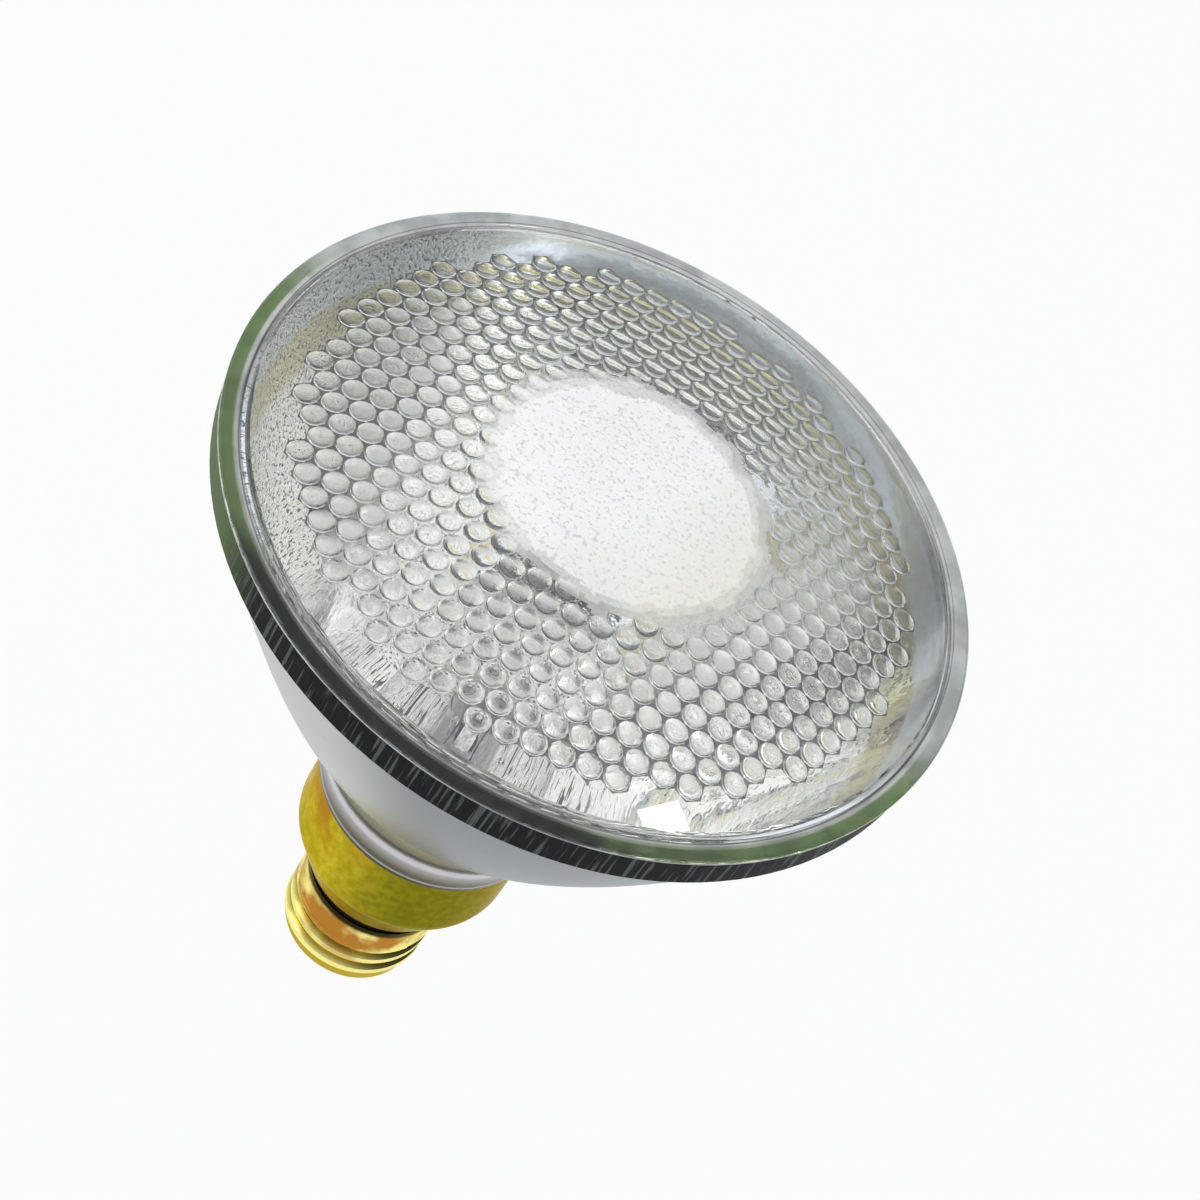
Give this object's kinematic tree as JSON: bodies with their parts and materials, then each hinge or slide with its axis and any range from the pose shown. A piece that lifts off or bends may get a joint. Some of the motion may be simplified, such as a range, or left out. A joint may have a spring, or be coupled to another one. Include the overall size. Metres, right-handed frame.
{
  "type": "par spotlight bulb",
  "caption": "Sealed reflector lamp with a shallow dome lens pressed with hexagonal lenticules, an aluminised parabolic bowl, a short neck and a skirted brass screw base.",
  "frame": {"origin": "tip of the centre contact, on the lamp's axis", "axes": "+Z along the lamp's axis, out of the lens; +X along the line between the two ferrules"},
  "size_m": [0.121, 0.121, 0.1348],
  "materials": {
    "pressed_glass": "clear pressed borosilicate glass with a faint green edge",
    "reflector_glass": "pressed glass, aluminised on its inner face, satin silver from outside",
    "rim_sealant": "grey sealant, semi-gloss",
    "quartz": "clear fused quartz",
    "tungsten": "drawn tungsten wire",
    "molybdenum": "dull molybdenum",
    "nickel_iron": "drawn nickel iron, dull",
    "cement": "fired lamp cement, matt",
    "skirt_brass": "drawn brass, lightly tarnished",
    "moulded_ring": "dark moulded insulator",
    "shell_brass": "rolled brass, bright on the thread crests",
    "base_glass": "dark fused base glass",
    "solder": "dull soft solder",
    "copper": "bare copper wire"
  },
  "bodies": {
    "root": {"lens": "pressed_glass", "rim_seal": "rim_sealant", "reflector": "reflector_glass", "capsule_envelope": "quartz", "filament": "tungsten", "foil_left": "molybdenum", "foil_right": "molybdenum", "capsule_pin_left": "molybdenum", "capsule_pin_right": "molybdenum", "support_lead_left": "nickel_iron", "support_lead_right": "nickel_iron", "ferrule_left": "nickel_iron", "ferrule_right": "nickel_iron", "base_cement": "cement", "skirt": "skirt_brass", "skirt_insulator": "moulded_ring", "screw_shell": "shell_brass", "base_insulator": "base_glass", "contact_eyelet": "shell_brass", "contact_solder": "solder", "contact_lead": "copper", "shell_lead": "copper", "shell_solder": "solder"}
  },
  "joints": []
}
